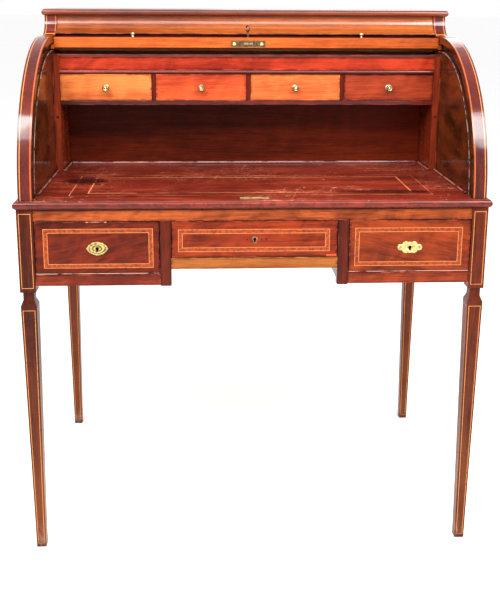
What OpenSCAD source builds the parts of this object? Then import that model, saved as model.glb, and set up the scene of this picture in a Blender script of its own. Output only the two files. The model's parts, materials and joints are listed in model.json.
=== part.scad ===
// Roll top writing desk: an inlaid carcase on four tapered legs, three drawers below the
// writing board, a nest of four small drawers above it, and a roll (tambour) that turns
// round the centre of the quarter-round side panels. Millimetres, +Z up, the front faces -Y,
// origin on the floor under the middle of the desk.

/* [Overall] */
// Width of the writing board
desk_w = 946; // [900:1:1000]
// Height of the writing surface above the floor
writing_h = 760; // [740:1:780]
// Thickness of the writing board
board_t = 17; // [16:1:20]
// Overhang of the writing board in front of the posts
board_lip = 8; // [6:1:12]
// Depth of the carcase, from the front of the posts to the back panel
carcase_d = 606; // [604:1:610]

/* [Legs] */
// Width and depth of a post, and of a leg at its top
post_w = 32; // [30:1:34]
// Width of a leg at the floor
foot_w = 20; // [16:1:24]
// Underside of the post block
post_bottom = 573; // [570:1:576]
// Width of the recessed neck between post and leg
neck_w = 22; // [18:1:26]
// Height of the straight part of the neck
neck_h = 17; // [12:1:20]
// Height of the sloping shoulder under the neck
shoulder_h = 12; // [8:1:14]

/* [Front frame] */
// How far rails and drawer fronts sit behind the posts
frame_inset = 1.5; // [1:0.5:3]
// Thickness of rails and stiles, front to back
rail_t = 20; // [18:1:24]
// Width of the stiles beside the centre drawer
stile_w = 22; // [18:1:26]
// Width of the centre drawer's opening
centre_open_w = 333; // [320:1:350]
// Height of the frieze rail under the writing board
frieze_rail_h = 24.5; // [20:0.5:28]
// Underside of the rails below the side drawers
side_rail_z = 586; // [584:1:590]
// Height of the rails below the drawers
low_rail_h = 23; // [20:1:26]
// Underside of the rail below the centre drawer
centre_rail_z = 619; // [612:1:626]
// Clearance round a drawer front
drawer_gap = 1.4; // [0.8:0.1:1.5]

/* [Upper case] */
// Width over the quarter-round side panels
upper_w = 927; // [920:1:930]
// Thickness of a side panel
side_t = 28; // [26:1:30]
// Radius of the quarter-round front edge
side_r = 304; // [303:0.5:306]
// Depth of the track groove in a side panel
track_depth = 8; // [6:0.5:10]
// Overall height of the desk
overall_h = 1122; // [1118:1:1126]
// Thickness of the top board
top_t = 15; // [14:1:18]
// Overhang of the top board past each side panel
top_lip = 5.5; // [4:0.5:8]

/* [Roll] */
// Radius of the canvas that the slats are glued to
canvas_r = 274; // [273.5:0.5:275]
// Thickness of a slat
slat_t = 11; // [10:0.5:11.5]
// Number of slats
slat_count = 31; // [24:1:36]
// Angle at which the leading rail stands when the roll is open
open_angle = 94; // [92:0.5:95]
// Angle that the leading rail covers
rail_angle = 7; // [6.5:0.5:8]
// Angle from the leading edge to the last slat
roll_angle = 106; // [104:1:107]

/* [Nest] */
// Front of the nest of small drawers, measured from the posts' front
nest_y = 302; // [298:1:306]
// Depth of the nest
nest_d = 108; // [100:1:110]
// Underside of the nest's shelf
nest_shelf_z = 912.5; // [905:0.5:920]
// Thickness of the nest's sides
nest_side_t = 15; // [12:1:16]
// Thickness of the nest's dividers
divider_t = 9; // [7:1:10]

/* [Hidden] */
$fn = 96;

// colours
dark_wood = [0.30, 0.13, 0.08];
red_wood = [0.45, 0.15, 0.08];
orange_wood = [0.72, 0.36, 0.17];
drawer_wood = [0.55, 0.40, 0.26];
brass_metal = [0.78, 0.66, 0.38];
canvas_cloth = [0.45, 0.42, 0.34];

// frame of the whole desk
desk_d = carcase_d + board_lip;
front = board_lip - desk_d / 2;
back = desk_d / 2;
carcase_w = desk_w - 10;
board_z = writing_h - board_t;
post_in = carcase_w / 2 - post_w;
leg_top_z = post_bottom - neck_h - shoulder_h;
eps = 1;

// front frame
frame_y = front + frame_inset;
frame_back = frame_y + rail_t;
open_top = board_z - frieze_rail_h;
side_open_z = side_rail_z + low_rail_h;
centre_open_z = centre_rail_z + low_rail_h;
stile_in = centre_open_w / 2;
stile_out = stile_in + stile_w;
stile_low = side_rail_z - 2;

// inner carcase
panel_t = 12;
end_panel_out = carcase_w / 2 - 4;
end_panel_in = end_panel_out - panel_t;
back_panel_t = 8;
dust_t = 7;
dust_y = back - 50;
pedestal_t = 14;
pedestal_in = stile_in + 4;
runner_h = 14;
runner_w = 24;
runner_gap = 0.5;
tray_lift = 2;

// roll: its axis lies along X at the level of the writing surface
axis_y = front + side_r + 4;
axis_z = writing_h;
slat_r = canvas_r + 1.2;
roll_r = slat_r + slat_t - 0.2;
rail_r_in = canvas_r + 5;
rail_r_out = side_r - 2;
track_r_in = canvas_r - 1;
track_r_out = roll_r + 2;
side_in = upper_w / 2 - side_t;
track_x = side_in + track_depth;
slot_front = axis_y + canvas_r - 3;
slot_back = axis_y + roll_r + 2.5;
slat_half = track_x - 1.5;
slat_pitch = (roll_angle - rail_angle - 0.2) / slat_count;
slat_w = 15;
bead_r = 9;
lock_r = 288;
strike_y = axis_y - lock_r;

// lock on the leading rail
selvedge = [78, 14, 2];
lock_case = [56, 10, 22];
lock_wall = 1.6;
bolt = [22, 5, 10];
keyhole_z = 15;
key_r = 2;
key_stem_in = lock_r - 2.5;

// upper case
top_z = overall_h - top_t;
shoulder_z = writing_h + side_r;
cove_r = top_z - 2 - shoulder_z;
cove_y = front + 352;
frieze_y = front + 370;
frieze_t = 34;
frieze_lip = [3, 7];
// Open height between the cove frieze and the roll's rail
frieze_gap = 3;
frieze_cove_r = 34.5;
top_y = front + 385;
back_y = back - back_panel_t;
strip_y = front + 378;
strip_t = 12;
strip_z = 1040;

// nest
nest_front = front + nest_y;
nest_back_y = nest_front + nest_d;
nest_back_t = 6;
nest_shelf_t = 9.5;
nest_out = side_in;
nest_in = nest_out - nest_side_t;
nest_open_z = nest_shelf_z + nest_shelf_t;
nest_top_z = 981.5;
nest_top_t = 8;
nest_fascia_t = 8;
nest_fascia_z = 991;
nest_rim_z = 1019;
nest_rim_h = 6;
nest_clear_r = canvas_r - 8;
small_w = (2 * nest_in - 3 * divider_t) / 4;
small_gap = 0.6;
small_front_t = 10;
small_recess = [0.5, 0.5, 2, 3];
bead_w = 6;

// ---------- shared shapes ----------

module box_between(low, high) {
    translate(low) cube(high - low);
}

// An outline in (Y, Z) carried along X from x0 to x1
module along_x(x0, x1) {
    translate([x0, 0, 0])
        rotate([90, 0, 90])
            linear_extrude(height = x1 - x0) children();
}

// An outline in (radius, X) swept round the roll's axis from angle a0 to a1, where 0 points
// to the front and 90 points up
module arc_sweep(a0, a1) {
    rotate([0, 90, 0])
        rotate([0, 0, 270 - a1])
            rotate_extrude(angle = a1 - a0) children();
}

module ring_band(r_in, r_out, half_x) {
    translate([r_in, -half_x]) square([r_out - r_in, 2 * half_x]);
}

// Places what is drawn in the closed roll's own frame (axis at the origin) at the open rest pose
module at_roll() {
    translate([0, axis_y, axis_z]) rotate([-open_angle, 0, 0]) children();
}

// A board with a half-round nose on its front and both ends, square at the back
module nosed_board(w, y0, y1, z0, t) {
    intersection() {
        along_x(-w / 2, w / 2) {
            translate([y0 + t / 2, z0 + t / 2]) circle(d = t);
            translate([y0 + t / 2, z0]) square([y1 - y0 - t / 2, t]);
        }
        translate([0, y1, 0]) rotate([90, 0, 0]) linear_extrude(height = y1 - y0) {
            for (s = [-1, 1]) translate([s * (w - t) / 2, z0 + t / 2]) circle(d = t);
            translate([-(w - t) / 2, z0]) square([w - t, t]);
        }
    }
}

// A four-sided tapering block between two squares, each [centre x, centre y, z, half width]
module taper(low, high) {
    function ring(s) = [for (c = [[-1, -1], [1, -1], [1, 1], [-1, 1]])
        [s[0] + c[0] * s[3], s[1] + c[1] * s[3], s[2]]];
    polyhedron(
        points = concat(ring(low), ring(high)),
        faces = [[0, 1, 2, 3], [7, 6, 5, 4], [0, 4, 5, 1], [1, 5, 6, 2], [2, 6, 7, 3],
            [3, 7, 4, 0]]);
}

// A keyhole outline: a round with a slot under it
module keyhole(r, drop) {
    circle(r = r);
    translate([-r * 0.55, -drop]) square([r * 1.1, drop]);
}

// ---------- legs ----------

// One leg centred on x, y. The post, neck, shoulder and tapered leg are one piece of wood.
module leg(x, y) {
    union() {
        translate([x - post_w / 2, y - post_w / 2, post_bottom])
            cube([post_w, post_w, board_z - post_bottom]);
        translate([x - neck_w / 2, y - neck_w / 2, leg_top_z + shoulder_h])
            cube([neck_w, neck_w, neck_h]);
        taper([x, y, leg_top_z, post_w / 2], [x, y, leg_top_z + shoulder_h, neck_w / 2]);
        taper([x, y, 0, foot_w / 2], [x, y, leg_top_z, post_w / 2]);
    }
}

// A back leg, with the roll's track running on down its post
module back_leg(side) {
    difference() {
        leg(side * (post_in + post_w / 2), back - post_w / 2);
        translate([0, axis_y, axis_z])
            arc_sweep(180, 203)
                ring_band(track_r_in, track_r_out, track_x);
    }
}

module front_left_leg() {
    color(dark_wood) leg(-post_in - post_w / 2, front + post_w / 2);
}

module front_right_leg() {
    color(dark_wood) leg(post_in + post_w / 2, front + post_w / 2);
}

module back_left_leg() {
    color(dark_wood) back_leg(-1);
}

module back_right_leg() {
    color(dark_wood) back_leg(1);
}

// ---------- writing board ----------

strike = [58, 18, 2];
strike_slot = [26, 9];

module table_top() {
    color(red_wood) difference() {
        nosed_board(desk_w, front - board_lip, back, board_z, board_t);
        box_between([-track_x, slot_front, board_z - eps], [track_x, slot_back, writing_h + eps]);
        translate([-strike[0] / 2, strike_y - strike[1] / 2, writing_h - strike[2]])
            cube([strike[0], strike[1], strike[2] + eps]);
        translate([-strike_slot[0] / 2, strike_y - strike_slot[1] / 2, writing_h - 12])
            cube([strike_slot[0], strike_slot[1], 12]);
    }
}

module strike_plate() {
    color(brass_metal) translate([0, strike_y, writing_h - strike[2]])
        linear_extrude(height = strike[2]) difference() {
            square([strike[0], strike[1]], center = true);
            square(strike_slot, center = true);
        }
}

// ---------- front frame ----------

module frieze_rail() {
    color(orange_wood)
        box_between([-post_in, frame_y, open_top], [post_in, frame_back, board_z]);
}

module stile(side) {
    color(red_wood) translate([side * (stile_in + stile_w / 2) - stile_w / 2, frame_y, stile_low])
        cube([stile_w, rail_t, open_top - stile_low]);
}

module left_stile() {
    stile(-1);
}

module right_stile() {
    stile(1);
}

module bottom_rail(x0, x1) {
    color(red_wood)
        box_between([x0, frame_y, side_rail_z], [x1, frame_back, side_open_z]);
}

module left_bottom_rail() {
    bottom_rail(-post_in, -stile_out);
}

module right_bottom_rail() {
    bottom_rail(stile_out, post_in);
}

module centre_bottom_rail() {
    color(orange_wood)
        box_between([-stile_in, frame_y, centre_rail_z], [stile_in, frame_back, centre_open_z]);
}

// ---------- inner carcase ----------

module end_panel(side) {
    color(dark_wood)
        translate([side > 0 ? end_panel_in : -end_panel_out, front + post_w, side_rail_z])
            cube([panel_t, carcase_d - 2 * post_w, board_z - side_rail_z]);
}

module left_end_panel() {
    end_panel(-1);
}

module right_end_panel() {
    end_panel(1);
}

module lower_back_panel() {
    color(dark_wood)
        box_between([-post_in, back_y, side_rail_z], [post_in, back, board_z]);
}

// Inner back: keeps the drawers away from the well that the roll's tail drops into
module dust_panel() {
    color(drawer_wood)
        box_between([-end_panel_in, dust_y, side_rail_z], [end_panel_in, dust_y + dust_t, board_z]);
}

module pedestal_sides() {
    color(red_wood) for (side = [-1, 1])
        translate([side > 0 ? pedestal_in : -pedestal_in - pedestal_t, frame_back, side_rail_z])
            cube([pedestal_t, dust_y - frame_back, board_z - side_rail_z]);
}

// Two runners under each drawer, and two kickers over each
module drawer_runners() {
    pedestal_out = pedestal_in + pedestal_t;
    wide = runner_w + end_panel_in - post_in;
    // inner edge, width, opening underside and front end of the bars on one side of the desk
    bars = [[pedestal_in - runner_w, runner_w, centre_open_z, frame_back],
        [pedestal_out, runner_w, side_open_z, frame_back],
        [end_panel_in - wide, wide, side_open_z, front + post_w]];
    color(drawer_wood) for (side = [-1, 1], bar = bars) {
        x = side > 0 ? bar[0] : -bar[0] - bar[1];
        run_z = bar[2] + tray_lift - runner_gap;
        box_between([x, bar[3], run_z - runner_h], [x + bar[1], dust_y, run_z]);
        box_between([x, bar[3], open_top + 1], [x + bar[1], dust_y, board_z]);
    }
}

// ---------- upper case ----------

// Side view of a side panel: quarter round, flat shoulder, then a cove up to the top board
module side_outline() {
    difference() {
        union() {
            intersection() {
                translate([axis_y, axis_z]) circle(r = side_r, $fn = 180);
                translate([axis_y - side_r, axis_z]) square([side_r, side_r]);
            }
            translate([axis_y, axis_z]) square([back_y - axis_y, top_z - axis_z]);
        }
        translate([cove_y, top_z - 2]) circle(r = cove_r);
        translate([axis_y - eps, shoulder_z]) square([cove_y - axis_y + eps, top_z - shoulder_z + eps]);
        translate([cove_y - eps, top_z - 2]) square([cove_r + eps, 2 + eps]);
    }
}

module side_panel(side) {
    color(dark_wood) difference() {
        along_x(side > 0 ? side_in : -upper_w / 2, side > 0 ? upper_w / 2 : -side_in)
            side_outline();
        translate([0, axis_y, axis_z])
            arc_sweep(-5, 185)
                ring_band(track_r_in, track_r_out, track_x);
    }
}

module left_side_panel() {
    side_panel(-1);
}

module right_side_panel() {
    side_panel(1);
}

module top_board() {
    color(orange_wood) nosed_board(upper_w + 2 * top_lip, top_y, back, top_z, top_t);
}

module cornice_frieze() {
    low_z = shoulder_z + frieze_gap;
    color(orange_wood) along_x(-side_in, side_in) difference() {
        translate([frieze_y, low_z]) square([frieze_t, top_z - low_z]);
        translate([frieze_y - 7, top_z - 3]) circle(r = frieze_cove_r);
        translate([frieze_y - eps, low_z + frieze_lip[1]])
            square([frieze_lip[0] + eps, top_z - low_z]);
    }
}

module roll_stop_strip() {
    color(dark_wood)
        box_between([-side_in, strip_y, strip_z], [side_in, strip_y + strip_t, shoulder_z]);
}

module upper_back_panel() {
    color(dark_wood)
        box_between([-upper_w / 2, back_y, writing_h], [upper_w / 2, back, top_z]);
}

// ---------- nest ----------

module nest_sides() {
    color(red_wood) for (side = [-1, 1])
        along_x(side > 0 ? nest_in : -nest_out, side > 0 ? nest_out : -nest_in)
            intersection() {
                translate([nest_front, writing_h])
                    square([nest_d + nest_back_t, nest_rim_z + nest_rim_h - writing_h]);
                translate([axis_y, axis_z]) circle(r = nest_clear_r);
            }
}

module nest_shelf() {
    color(red_wood) box_between([-nest_in, nest_front + 1, nest_shelf_z],
        [nest_in, nest_back_y, nest_open_z]);
}

module nest_top() {
    color(red_wood) box_between([-nest_in, nest_front + 1 + nest_fascia_t, nest_top_z],
        [nest_in, nest_back_y, nest_top_z + nest_top_t]);
}

module nest_dividers() {
    color(red_wood) for (i = [-1:1])
        translate([i * (small_w + divider_t) - divider_t / 2, nest_front + 1, nest_open_z])
            cube([divider_t, nest_d - 1, nest_top_z - nest_open_z]);
}

module nest_back() {
    color(dark_wood) box_between([-nest_in, nest_back_y, writing_h],
        [nest_in, nest_back_y + nest_back_t, nest_top_z + nest_top_t]);
}

module nest_fascia() {
    color(red_wood) box_between([-nest_in, nest_front + 1, nest_fascia_z],
        [nest_in, nest_front + 1 + nest_fascia_t, nest_rim_z]);
}

// The rounded shelf edge under the fascia, and the flat rim on top of it
module nest_mouldings() {
    shelf_h = nest_fascia_z - nest_top_z;
    color(red_wood) {
        along_x(-nest_in, nest_in) {
            translate([nest_front - 2 + shelf_h / 2, nest_top_z + shelf_h / 2]) circle(d = shelf_h);
            translate([nest_front - 2 + shelf_h / 2, nest_top_z])
                square([nest_fascia_t + 3 - shelf_h / 2, shelf_h]);
        }
        box_between([-nest_in, nest_front - 1, nest_rim_z],
            [nest_in, nest_front + 12, nest_rim_z + nest_rim_h]);
    }
}

// Quarter-round bead on the writing board, along the sides, round the nest and across its back
module surface_bead() {
    module quarter() {
        intersection() {
            circle(r = bead_w, $fn = 48);
            square(bead_w);
        }
    }
    module side_run(x, y0, y1) {
        for (side = [-1, 1])
            translate([side * x, y1, writing_h])
                rotate([90, 0, 0])
                    linear_extrude(height = y1 - y0)
                        mirror([side > 0 ? 1 : 0, 0]) quarter();
    }
    color(dark_wood) {
        side_run(side_in, front + 48, nest_front);
        side_run(nest_in, nest_front + 4, nest_back_y);
        along_x(-nest_in + bead_w, nest_in - bead_w)
            translate([nest_back_y, writing_h]) mirror([1, 0]) quarter();
    }
}

// ---------- small drawers ----------

function small_x(i) = (i - 2.5) * (small_w + divider_t);
function small_y(i) = nest_front + 1 + small_recess[i - 1];

module small_front(i) {
    w = small_w - 2 * small_gap;
    h = nest_top_z - nest_open_z - 2 * small_gap;
    color(orange_wood) translate([small_x(i) - w / 2, small_y(i), nest_open_z + small_gap])
        cube([w, small_front_t, h]);
}

module open_tray(low, size, wall, floor_t) {
    translate(low) difference() {
        cube(size);
        translate([wall, wall, floor_t])
            cube([size[0] - 2 * wall, size[1] - 2 * wall, size[2]]);
    }
}

module small_tray(i) {
    w = small_w - 4;
    y0 = small_y(i) + small_front_t;
    color(drawer_wood) open_tray([small_x(i) - w / 2, y0, nest_open_z + small_gap],
        [w, nest_back_y - 1.5 - y0, 50], 5, 4);
}

// A turned knob on a vertical axis: rose, neck and ball
module turned_knob(rose_r, neck_r, ball_r, h) {
    rotate_extrude() {
        square([rose_r, 1.6]);
        square([neck_r, h - ball_r]);
        intersection() {
            translate([0, h - ball_r]) circle(r = ball_r);
            square([ball_r, h]);
        }
    }
}

module small_knob(i) {
    color(brass_metal) translate([small_x(i), small_y(i), nest_open_z + 29])
        rotate([90, 0, 0]) turned_knob(8, 3.6, 7.8, 17);
}

module small_drawer_1_front() { small_front(1); }
module small_drawer_1_tray() { small_tray(1); }
module small_drawer_1_knob() { small_knob(1); }
module small_drawer_2_front() { small_front(2); }
module small_drawer_2_tray() { small_tray(2); }
module small_drawer_2_knob() { small_knob(2); }
module small_drawer_3_front() { small_front(3); }
module small_drawer_3_tray() { small_tray(3); }
module small_drawer_3_knob() { small_knob(3); }
module small_drawer_4_front() { small_front(4); }
module small_drawer_4_tray() { small_tray(4); }
module small_drawer_4_knob() { small_knob(4); }

// ---------- lower drawers ----------

front_t = 18;
tray_end = dust_y - 14;
plate_t = 1.6;
// [centre x, opening width, opening underside, keyhole height]
left_bay = [-(stile_out + post_in) / 2, post_in - stile_out, side_open_z, 663.5];
right_bay = [(stile_out + post_in) / 2, post_in - stile_out, side_open_z, 661.5];
centre_bay = [0, centre_open_w, centre_open_z, 680.5];
case_size = [52, 8, 34];
key_drop = 7;

module bay_front(bay) {
    color(red_wood) difference() {
        translate([bay[0] - bay[1] / 2 + drawer_gap, frame_y, bay[2] + drawer_gap])
            cube([bay[1] - 2 * drawer_gap, front_t, open_top - bay[2] - 2 * drawer_gap]);
        translate([bay[0], frame_y + front_t + eps, bay[3]])
            rotate([90, 0, 0]) linear_extrude(height = front_t + 2 * eps) keyhole(3.2, key_drop);
        translate([bay[0] - case_size[0] / 2, frame_y + front_t - case_size[1],
                bay[3] - case_size[2] / 2])
            cube([case_size[0], case_size[1] + eps, case_size[2]]);
    }
}

module bay_tray(bay) {
    w = bay[1] - 6;
    y0 = frame_y + front_t;
    color(drawer_wood) open_tray([bay[0] - w / 2, y0, bay[2] + tray_lift],
        [w, tray_end - y0, open_top - bay[2] - 12], 9, 6);
}

// A drawer lock: its case in the back of the drawer front, and the plate over its keyhole
module bay_lock(bay) {
    color(brass_metal) {
        translate([bay[0], frame_y + front_t, bay[3]]) rotate([90, 0, 0])
            linear_extrude(height = case_size[1]) difference() {
                square([case_size[0], case_size[2]], center = true);
                keyhole(3.2, key_drop);
            }
        translate([bay[0], frame_y, bay[3]]) rotate([90, 0, 0])
            linear_extrude(height = plate_t) difference() {
                children();
                keyhole(3.2, key_drop);
            }
    }
}

// Pointed oval plate, as the overlap of two rounds
module pointed_plate(w, h) {
    r = (w * w + h * h) / (4 * h);
    intersection() {
        translate([0, r - h / 2]) circle(r = r);
        translate([0, h / 2 - r]) circle(r = r);
    }
}

// Wide lobed plate with a round at each end and two over and under the middle
module lobed_plate(w, h) {
    for (s = [-1, 1]) {
        translate([s * (w / 2 - 6.5), 0]) circle(r = 6.5);
        translate([s * 8, h / 2 - 8]) circle(r = 8);
        translate([s * 8, 8 - h / 2]) circle(r = 8);
    }
    square([w - 13, 9], center = true);
    circle(r = h / 2 - 1);
}

module left_drawer_front() { bay_front(left_bay); }
module left_drawer_tray() { bay_tray(left_bay); }
module left_drawer_lock() { bay_lock(left_bay) pointed_plate(43, 27); }
module centre_drawer_front() { bay_front(centre_bay); }
module centre_drawer_tray() { bay_tray(centre_bay); }
module centre_drawer_lock() {
    bay_lock(centre_bay) {
        translate([0, 1]) circle(r = 5.2);
        translate([-3.2, -8.6]) square([6.4, 9]);
    }
}
module right_drawer_front() { bay_front(right_bay); }
module right_drawer_tray() { bay_tray(right_bay); }
module right_drawer_lock() { bay_lock(right_bay) lobed_plate(50, 24); }

// ---------- roll ----------
// Drawn closed: the leading edge is the plane Z = 0 in front of the axis, radii run along -Y.

module roll_rail() {
    half = side_in - 1;
    color(orange_wood) at_roll() difference() {
        union() {
            arc_sweep(0, rail_angle) ring_band(rail_r_in, rail_r_out, half);
            arc_sweep(rail_angle - 2.6, rail_angle) ring_band(slat_r, rail_r_in + eps, half);
            arc_sweep(0.3, rail_angle) ring_band(slat_r + 0.3, roll_r, slat_half);
        }
        // recess under the rail's inner step at both ends of the leading edge
        arc_sweep(-eps, rail_angle - 2.6) ring_band(canvas_r - 1, rail_r_in, half);
        // beds for the lock's face plate and case
        translate([-selvedge[0] / 2, -lock_r - selvedge[1] / 2, -eps])
            cube([selvedge[0], selvedge[1], selvedge[2] + eps]);
        translate([-lock_case[0] / 2, -lock_r - lock_case[1] / 2, -eps])
            cube([lock_case[0], lock_case[1], lock_case[2] + selvedge[2] + eps]);
        translate([0, -lock_r, keyhole_z]) rotate([90, 0, 0])
            cylinder(r = 3.5, h = rail_r_out - lock_r + eps);
    }
}

module slat_outline() {
    intersection() {
        translate([slat_r, -slat_w / 2]) square([slat_t, slat_w]);
        translate([roll_r - bead_r, 0]) circle(r = bead_r);
    }
}

module roll_slats() {
    color(orange_wood) at_roll() for (i = [0 : slat_count - 1])
        rotate([-(rail_angle + 0.2 + (i + 0.5) * slat_pitch), 0, 0])
            translate([-slat_half, 0, 0])
                rotate([90, 0, 90])
                    linear_extrude(height = 2 * slat_half)
                        mirror([1, 0]) slat_outline();
}

module roll_canvas() {
    color(canvas_cloth) at_roll()
        arc_sweep(rail_angle - 2.5, roll_angle) ring_band(canvas_r, canvas_r + 1.1, side_in - 8);
}

// Lock: hollow case behind a long face plate, and the small plate round the keyhole outside
module roll_lock() {
    slot = [bolt[0] + 1, bolt[1] + 1];
    color(brass_metal) at_roll() {
        difference() {
            union() {
                translate([-selvedge[0] / 2, -lock_r - selvedge[1] / 2, 0]) cube(selvedge);
                translate([-lock_case[0] / 2, -lock_r - lock_case[1] / 2, 0])
                    cube([lock_case[0], lock_case[1], lock_case[2] + selvedge[2]]);
            }
            translate([lock_wall - lock_case[0] / 2, lock_wall - lock_r - lock_case[1] / 2,
                    selvedge[2]])
                cube([lock_case[0] - 2 * lock_wall, lock_case[1] - 2 * lock_wall,
                    lock_case[2] - lock_wall]);
            translate([-slot[0] / 2, -lock_r - slot[1] / 2, -eps])
                cube([slot[0], slot[1], selvedge[2] + 2 * eps]);
            translate([0, -lock_r, keyhole_z]) rotate([90, 0, 0])
                cylinder(r = key_r + 0.1, h = lock_case[1]);
        }
        difference() {
            translate([0, -rail_r_out - 1, keyhole_z]) rotate([-90, 0, 0]) difference() {
                cylinder(r = 7, h = 3);
                translate([0, 0, -eps]) cylinder(r = 3.5, h = 5);
            }
            rotate([0, 90, 0]) cylinder(r = rail_r_out, h = 30, center = true);
        }
    }
}

module roll_bolt() {
    color(brass_metal) at_roll()
        translate([-bolt[0] / 2, -lock_r - bolt[1] / 2, 0.4]) cube(bolt);
}

module bow_outline(r) {
    for (s = [-1, 1]) translate([s * 4, 0]) circle(r = r);
    square([8, 2 * r], center = true);
}

module roll_key() {
    bow_y = rail_r_out + 21;
    color(brass_metal) at_roll() translate([0, 0, keyhole_z]) {
        translate([0, -key_stem_in, 0]) rotate([90, 0, 0])
            cylinder(r = key_r, h = bow_y - 6 - key_stem_in);
        translate([0, -rail_r_out - 5, 0]) rotate([90, 0, 0]) cylinder(r = 3, h = 2.4);
        translate([0, -bow_y, 0]) rotate([0, 72, 0])
            linear_extrude(height = 2.6, center = true) difference() {
                bow_outline(7);
                bow_outline(4.4);
            }
        translate([1, -key_stem_in - 3, -0.8]) cube([5, 3, 1.6]);
    }
}

module roll_knobs() {
    color(brass_metal) at_roll() for (s = [-1, 1])
        translate([s * 260, 0, 0]) rotate([-rail_angle / 2, 0, 0])
            translate([0, -rail_r_out, 0]) rotate([90, 0, 0])
                turned_knob(5.5, 2.6, 5.5, 12);
}

table_top();
strike_plate();
front_left_leg();
front_right_leg();
back_left_leg();
back_right_leg();
frieze_rail();
left_stile();
right_stile();
left_bottom_rail();
right_bottom_rail();
centre_bottom_rail();
left_end_panel();
right_end_panel();
lower_back_panel();
dust_panel();
pedestal_sides();
drawer_runners();
left_side_panel();
right_side_panel();
top_board();
cornice_frieze();
roll_stop_strip();
upper_back_panel();
nest_sides();
nest_shelf();
nest_top();
nest_dividers();
nest_back();
nest_fascia();
nest_mouldings();
surface_bead();
small_drawer_1_front();
small_drawer_1_tray();
small_drawer_1_knob();
small_drawer_2_front();
small_drawer_2_tray();
small_drawer_2_knob();
small_drawer_3_front();
small_drawer_3_tray();
small_drawer_3_knob();
small_drawer_4_front();
small_drawer_4_tray();
small_drawer_4_knob();
left_drawer_front();
left_drawer_tray();
left_drawer_lock();
centre_drawer_front();
centre_drawer_tray();
centre_drawer_lock();
right_drawer_front();
right_drawer_tray();
right_drawer_lock();
roll_rail();
roll_slats();
roll_canvas();
roll_lock();
roll_bolt();
roll_key();
roll_knobs();
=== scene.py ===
# %% [markdown]
# # An inlaid mahogany writing desk with a roll top
#
# The desk is a case on four tapered legs. Three drawers run under a wide writing board, and behind
# the board stands a low nest of four small drawers. A curtain of slats rolls back between two
# quarter-round side panels. The solids come from a imported frame, so every place in this lesson is
# read from that frame, and the steps below add what wood and brass need to look real: eased edges,
# grain, inlay, wear and polish. A few marks are painted shade and painted highlights.

# %% Load the frame
import json
import math

import bmesh
import bpy
import numpy as np
from mathutils import Euler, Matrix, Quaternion, Vector


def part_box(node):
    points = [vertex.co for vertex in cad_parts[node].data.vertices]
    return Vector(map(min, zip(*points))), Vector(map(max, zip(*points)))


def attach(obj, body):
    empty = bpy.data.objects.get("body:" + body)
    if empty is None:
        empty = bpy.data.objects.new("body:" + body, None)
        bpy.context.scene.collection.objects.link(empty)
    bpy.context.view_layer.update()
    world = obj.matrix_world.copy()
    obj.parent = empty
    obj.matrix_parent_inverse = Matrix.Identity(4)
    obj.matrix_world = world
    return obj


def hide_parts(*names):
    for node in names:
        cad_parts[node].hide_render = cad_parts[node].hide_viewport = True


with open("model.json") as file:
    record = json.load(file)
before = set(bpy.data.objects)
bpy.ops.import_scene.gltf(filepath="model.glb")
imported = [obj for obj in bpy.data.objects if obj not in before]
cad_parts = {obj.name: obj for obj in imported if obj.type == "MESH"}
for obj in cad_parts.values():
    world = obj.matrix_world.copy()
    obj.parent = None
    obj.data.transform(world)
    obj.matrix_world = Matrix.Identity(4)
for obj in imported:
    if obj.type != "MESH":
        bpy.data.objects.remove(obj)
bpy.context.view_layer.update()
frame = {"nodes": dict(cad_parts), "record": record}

# %% [markdown]
# ## The camera
#
# A desk is shown best from standing height, a little left of its middle, with the writing board
# seen from above. The lens is moved down in its mount (a small shift), which keeps the legs nearly
# upright without tilting the camera as far as their length would ask for.

# %% Set up the camera
LONG_SIDE = 592
FOCAL = 895.9  # the focal length, in the same steps as the picture's long side
SENSOR = 36.0
eye = (-0.0965, -2.018, 1.147)
yaw, pitch, roll = -0.04815, 0.22505, 0.00537
focal_length = FOCAL / LONG_SIDE * SENSOR

camera = bpy.data.objects.new("camera", bpy.data.cameras.new("camera"))
bpy.context.scene.collection.objects.link(camera)
camera.data.sensor_width = SENSOR
camera.data.lens = focal_length
camera.data.shift_x = 0.003
camera.data.shift_y = -0.156
camera.location = eye
camera.rotation_mode = "QUATERNION"
level = Euler((math.pi / 2 - pitch, 0, yaw)).to_quaternion()
camera.rotation_quaternion = level @ Quaternion((0, 0, 1), roll)
bpy.context.scene.camera = camera
print("lens", round(focal_length, 1), "mm")

# %% [markdown]
# ## Light and floor
#
# Polished wood shows its shape by what it mirrors. Two tall soft boxes stand high in front, one on
# each side, so the round noses and the curved side bands catch long soft highlights. A wide bank
# between them lights the fronts evenly. A weak box above and another behind keep the top and the
# back from going dark, and a pale sky fills the shadows. The floor is one wide pale sheet.

# %% Soft boxes and sky
def soft_box(name, place, aim, size, watts):
    """A flat area light, size wide and tall, at a place, turned to face the aim point."""
    light = bpy.data.lights.new(name, "AREA")
    light.shape = "RECTANGLE"
    light.size, light.size_y = size
    light.energy = watts
    lamp = bpy.data.objects.new(name, light)
    bpy.context.scene.collection.objects.link(lamp)
    lamp.location = place
    lamp.rotation_mode = "QUATERNION"
    lamp.rotation_quaternion = (Vector(aim) - Vector(place)).to_track_quat("-Z", "Y")


soft_box("soft_box_left", (-1.15, -1.75, 2.35), (-0.1, 0.0, 0.75), (0.5, 1.15), 36)
soft_box("soft_box_right", (1.15, -1.75, 2.35), (0.1, 0.0, 0.75), (0.5, 1.15), 28)
soft_box("light_bank_in_front", (0.0, -2.05, 2.75), (0.0, -0.2, 0.8), (3.0, 0.9), 80)
soft_box("soft_box_above", (0.0, 0.3, 3.2), (0.0, 0.1, 0.7), (1.6, 1.6), 14)
soft_box("soft_box_behind", (0.6, 2.4, 2.2), (0.0, 0.0, 0.6), (1.4, 1.4), 14)

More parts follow.
